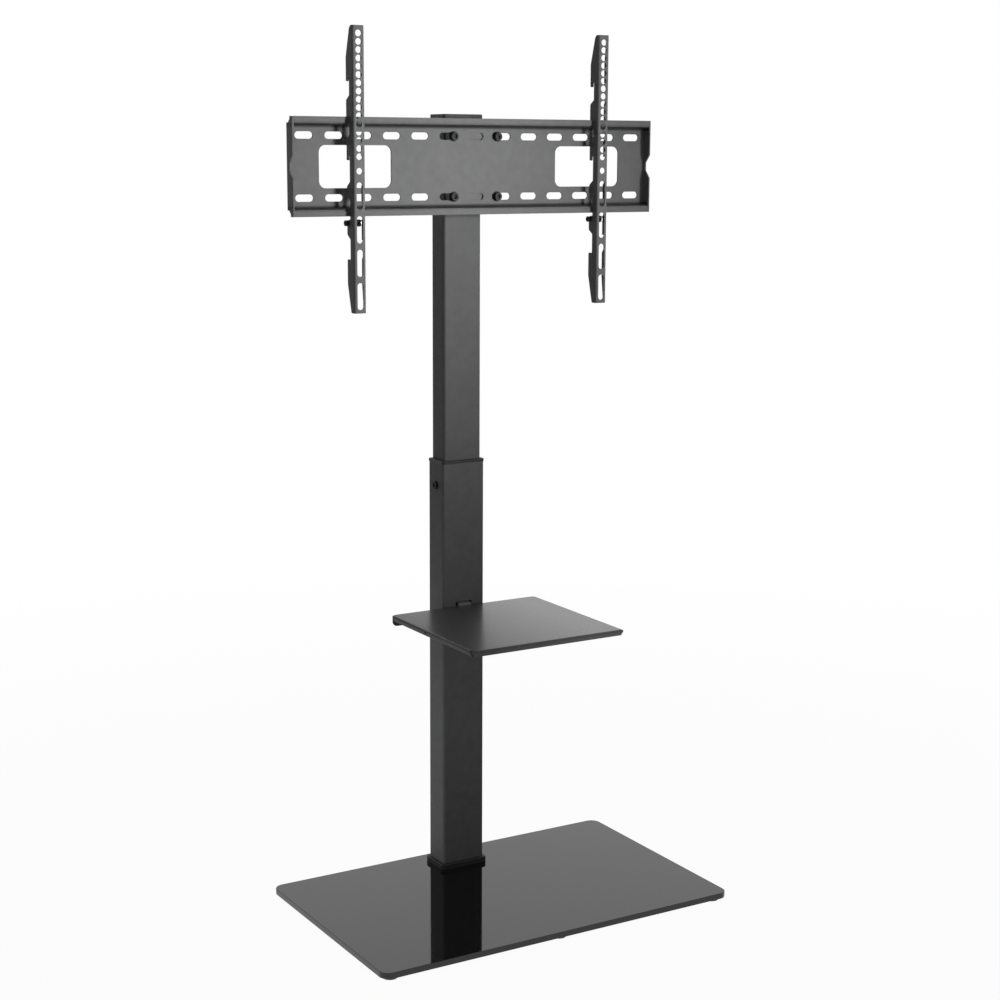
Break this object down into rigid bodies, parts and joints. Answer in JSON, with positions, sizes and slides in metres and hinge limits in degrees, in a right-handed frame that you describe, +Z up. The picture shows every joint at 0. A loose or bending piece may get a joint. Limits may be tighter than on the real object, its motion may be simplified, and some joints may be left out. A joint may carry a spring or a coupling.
{
  "type": "free standing display stand",
  "caption": "Floor stand for a flat display: glass base, telescopic rectangular column with a shelf, and a slotted rail that carries two perforated hook-on arms.",
  "frame": {"origin": "on the floor under the centre of the glass base", "axes": "+X to the right, +Y to the back, +Z up; the display hangs on the -Y side"},
  "size_m": [0.655, 0.404, 1.413],
  "materials": {
    "black_glass": "opaque black tempered glass, polished",
    "rubber": "matt black rubber",
    "dark_steel": "black painted steel",
    "zinc_steel": "zinc plated steel",
    "black_steel": "black oxide screws, satin",
    "black_plastic": "satin black moulded plastic",
    "pale_plastic": "natural white sliding plastic",
    "column_coat": "dark grey fine textured powder coat",
    "grey_coat": "grey fine textured powder coat"
  },
  "bodies": {
    "base": {"glass_base": "black_glass", "base_feet": "rubber", "base_plate": "dark_steel", "base_gasket": "rubber", "column_gasket": "rubber", "base_screws": "zinc_steel", "foot_block": "dark_steel", "base_collar": "black_plastic", "lower_tube": "column_coat", "guide_bush": "black_plastic", "height_clamp_plate": "zinc_steel", "shelf_tray": "grey_coat", "shelf_screws": "black_steel", "shelf_inserts": "zinc_steel"},
    "height_lock": {"height_lock_screw": "black_steel"},
    "mast": {"upper_tube": "column_coat", "glide_shoe": "pale_plastic", "top_cap": "black_plastic", "standoff_bracket": "grey_coat", "wall_plate": "grey_coat", "plate_bolts": "black_steel", "plate_washers": "black_steel", "plate_nuts": "black_steel"},
    "left_arm_body": {"left_arm": "grey_coat", "left_lock_nut": "zinc_steel", "left_lock_sleeve": "black_plastic"},
    "right_arm_body": {"right_arm": "grey_coat", "right_lock_nut": "zinc_steel", "right_lock_sleeve": "black_plastic"},
    "left_lock": {"left_lock_screw": "black_steel"},
    "right_lock": {"right_lock_screw": "black_steel"}
  },
  "joints": [
    {"name": "height_slide", "type": "slide", "parent": "base", "child": "mast", "axis": [0, 0, 1], "range_m": [0, 0.1]},
    {"name": "height_lock_turn", "type": "hinge", "parent": "base", "child": "height_lock", "pos_m": [-0.039, 0.1485, 0.681], "axis": [-1, 0, 0], "continuous": true},
    {"name": "left_arm_slide", "type": "slide", "parent": "mast", "child": "left_arm_body", "axis": [1, 0, 0], "range_m": [-0.0775, 0.1225]},
    {"name": "right_arm_slide", "type": "slide", "parent": "mast", "child": "right_arm_body", "axis": [1, 0, 0], "range_m": [-0.1225, 0.0775]},
    {"name": "left_lock_turn", "type": "hinge", "parent": "left_arm_body", "child": "left_lock", "pos_m": [-0.2225, 0.07475, 1.11753], "axis": [-1, 0, 0], "continuous": true},
    {"name": "right_lock_turn", "type": "hinge", "parent": "right_arm_body", "child": "right_lock", "pos_m": [0.2225, 0.07475, 1.11753], "axis": [-1, 0, 0], "continuous": true}
  ]
}
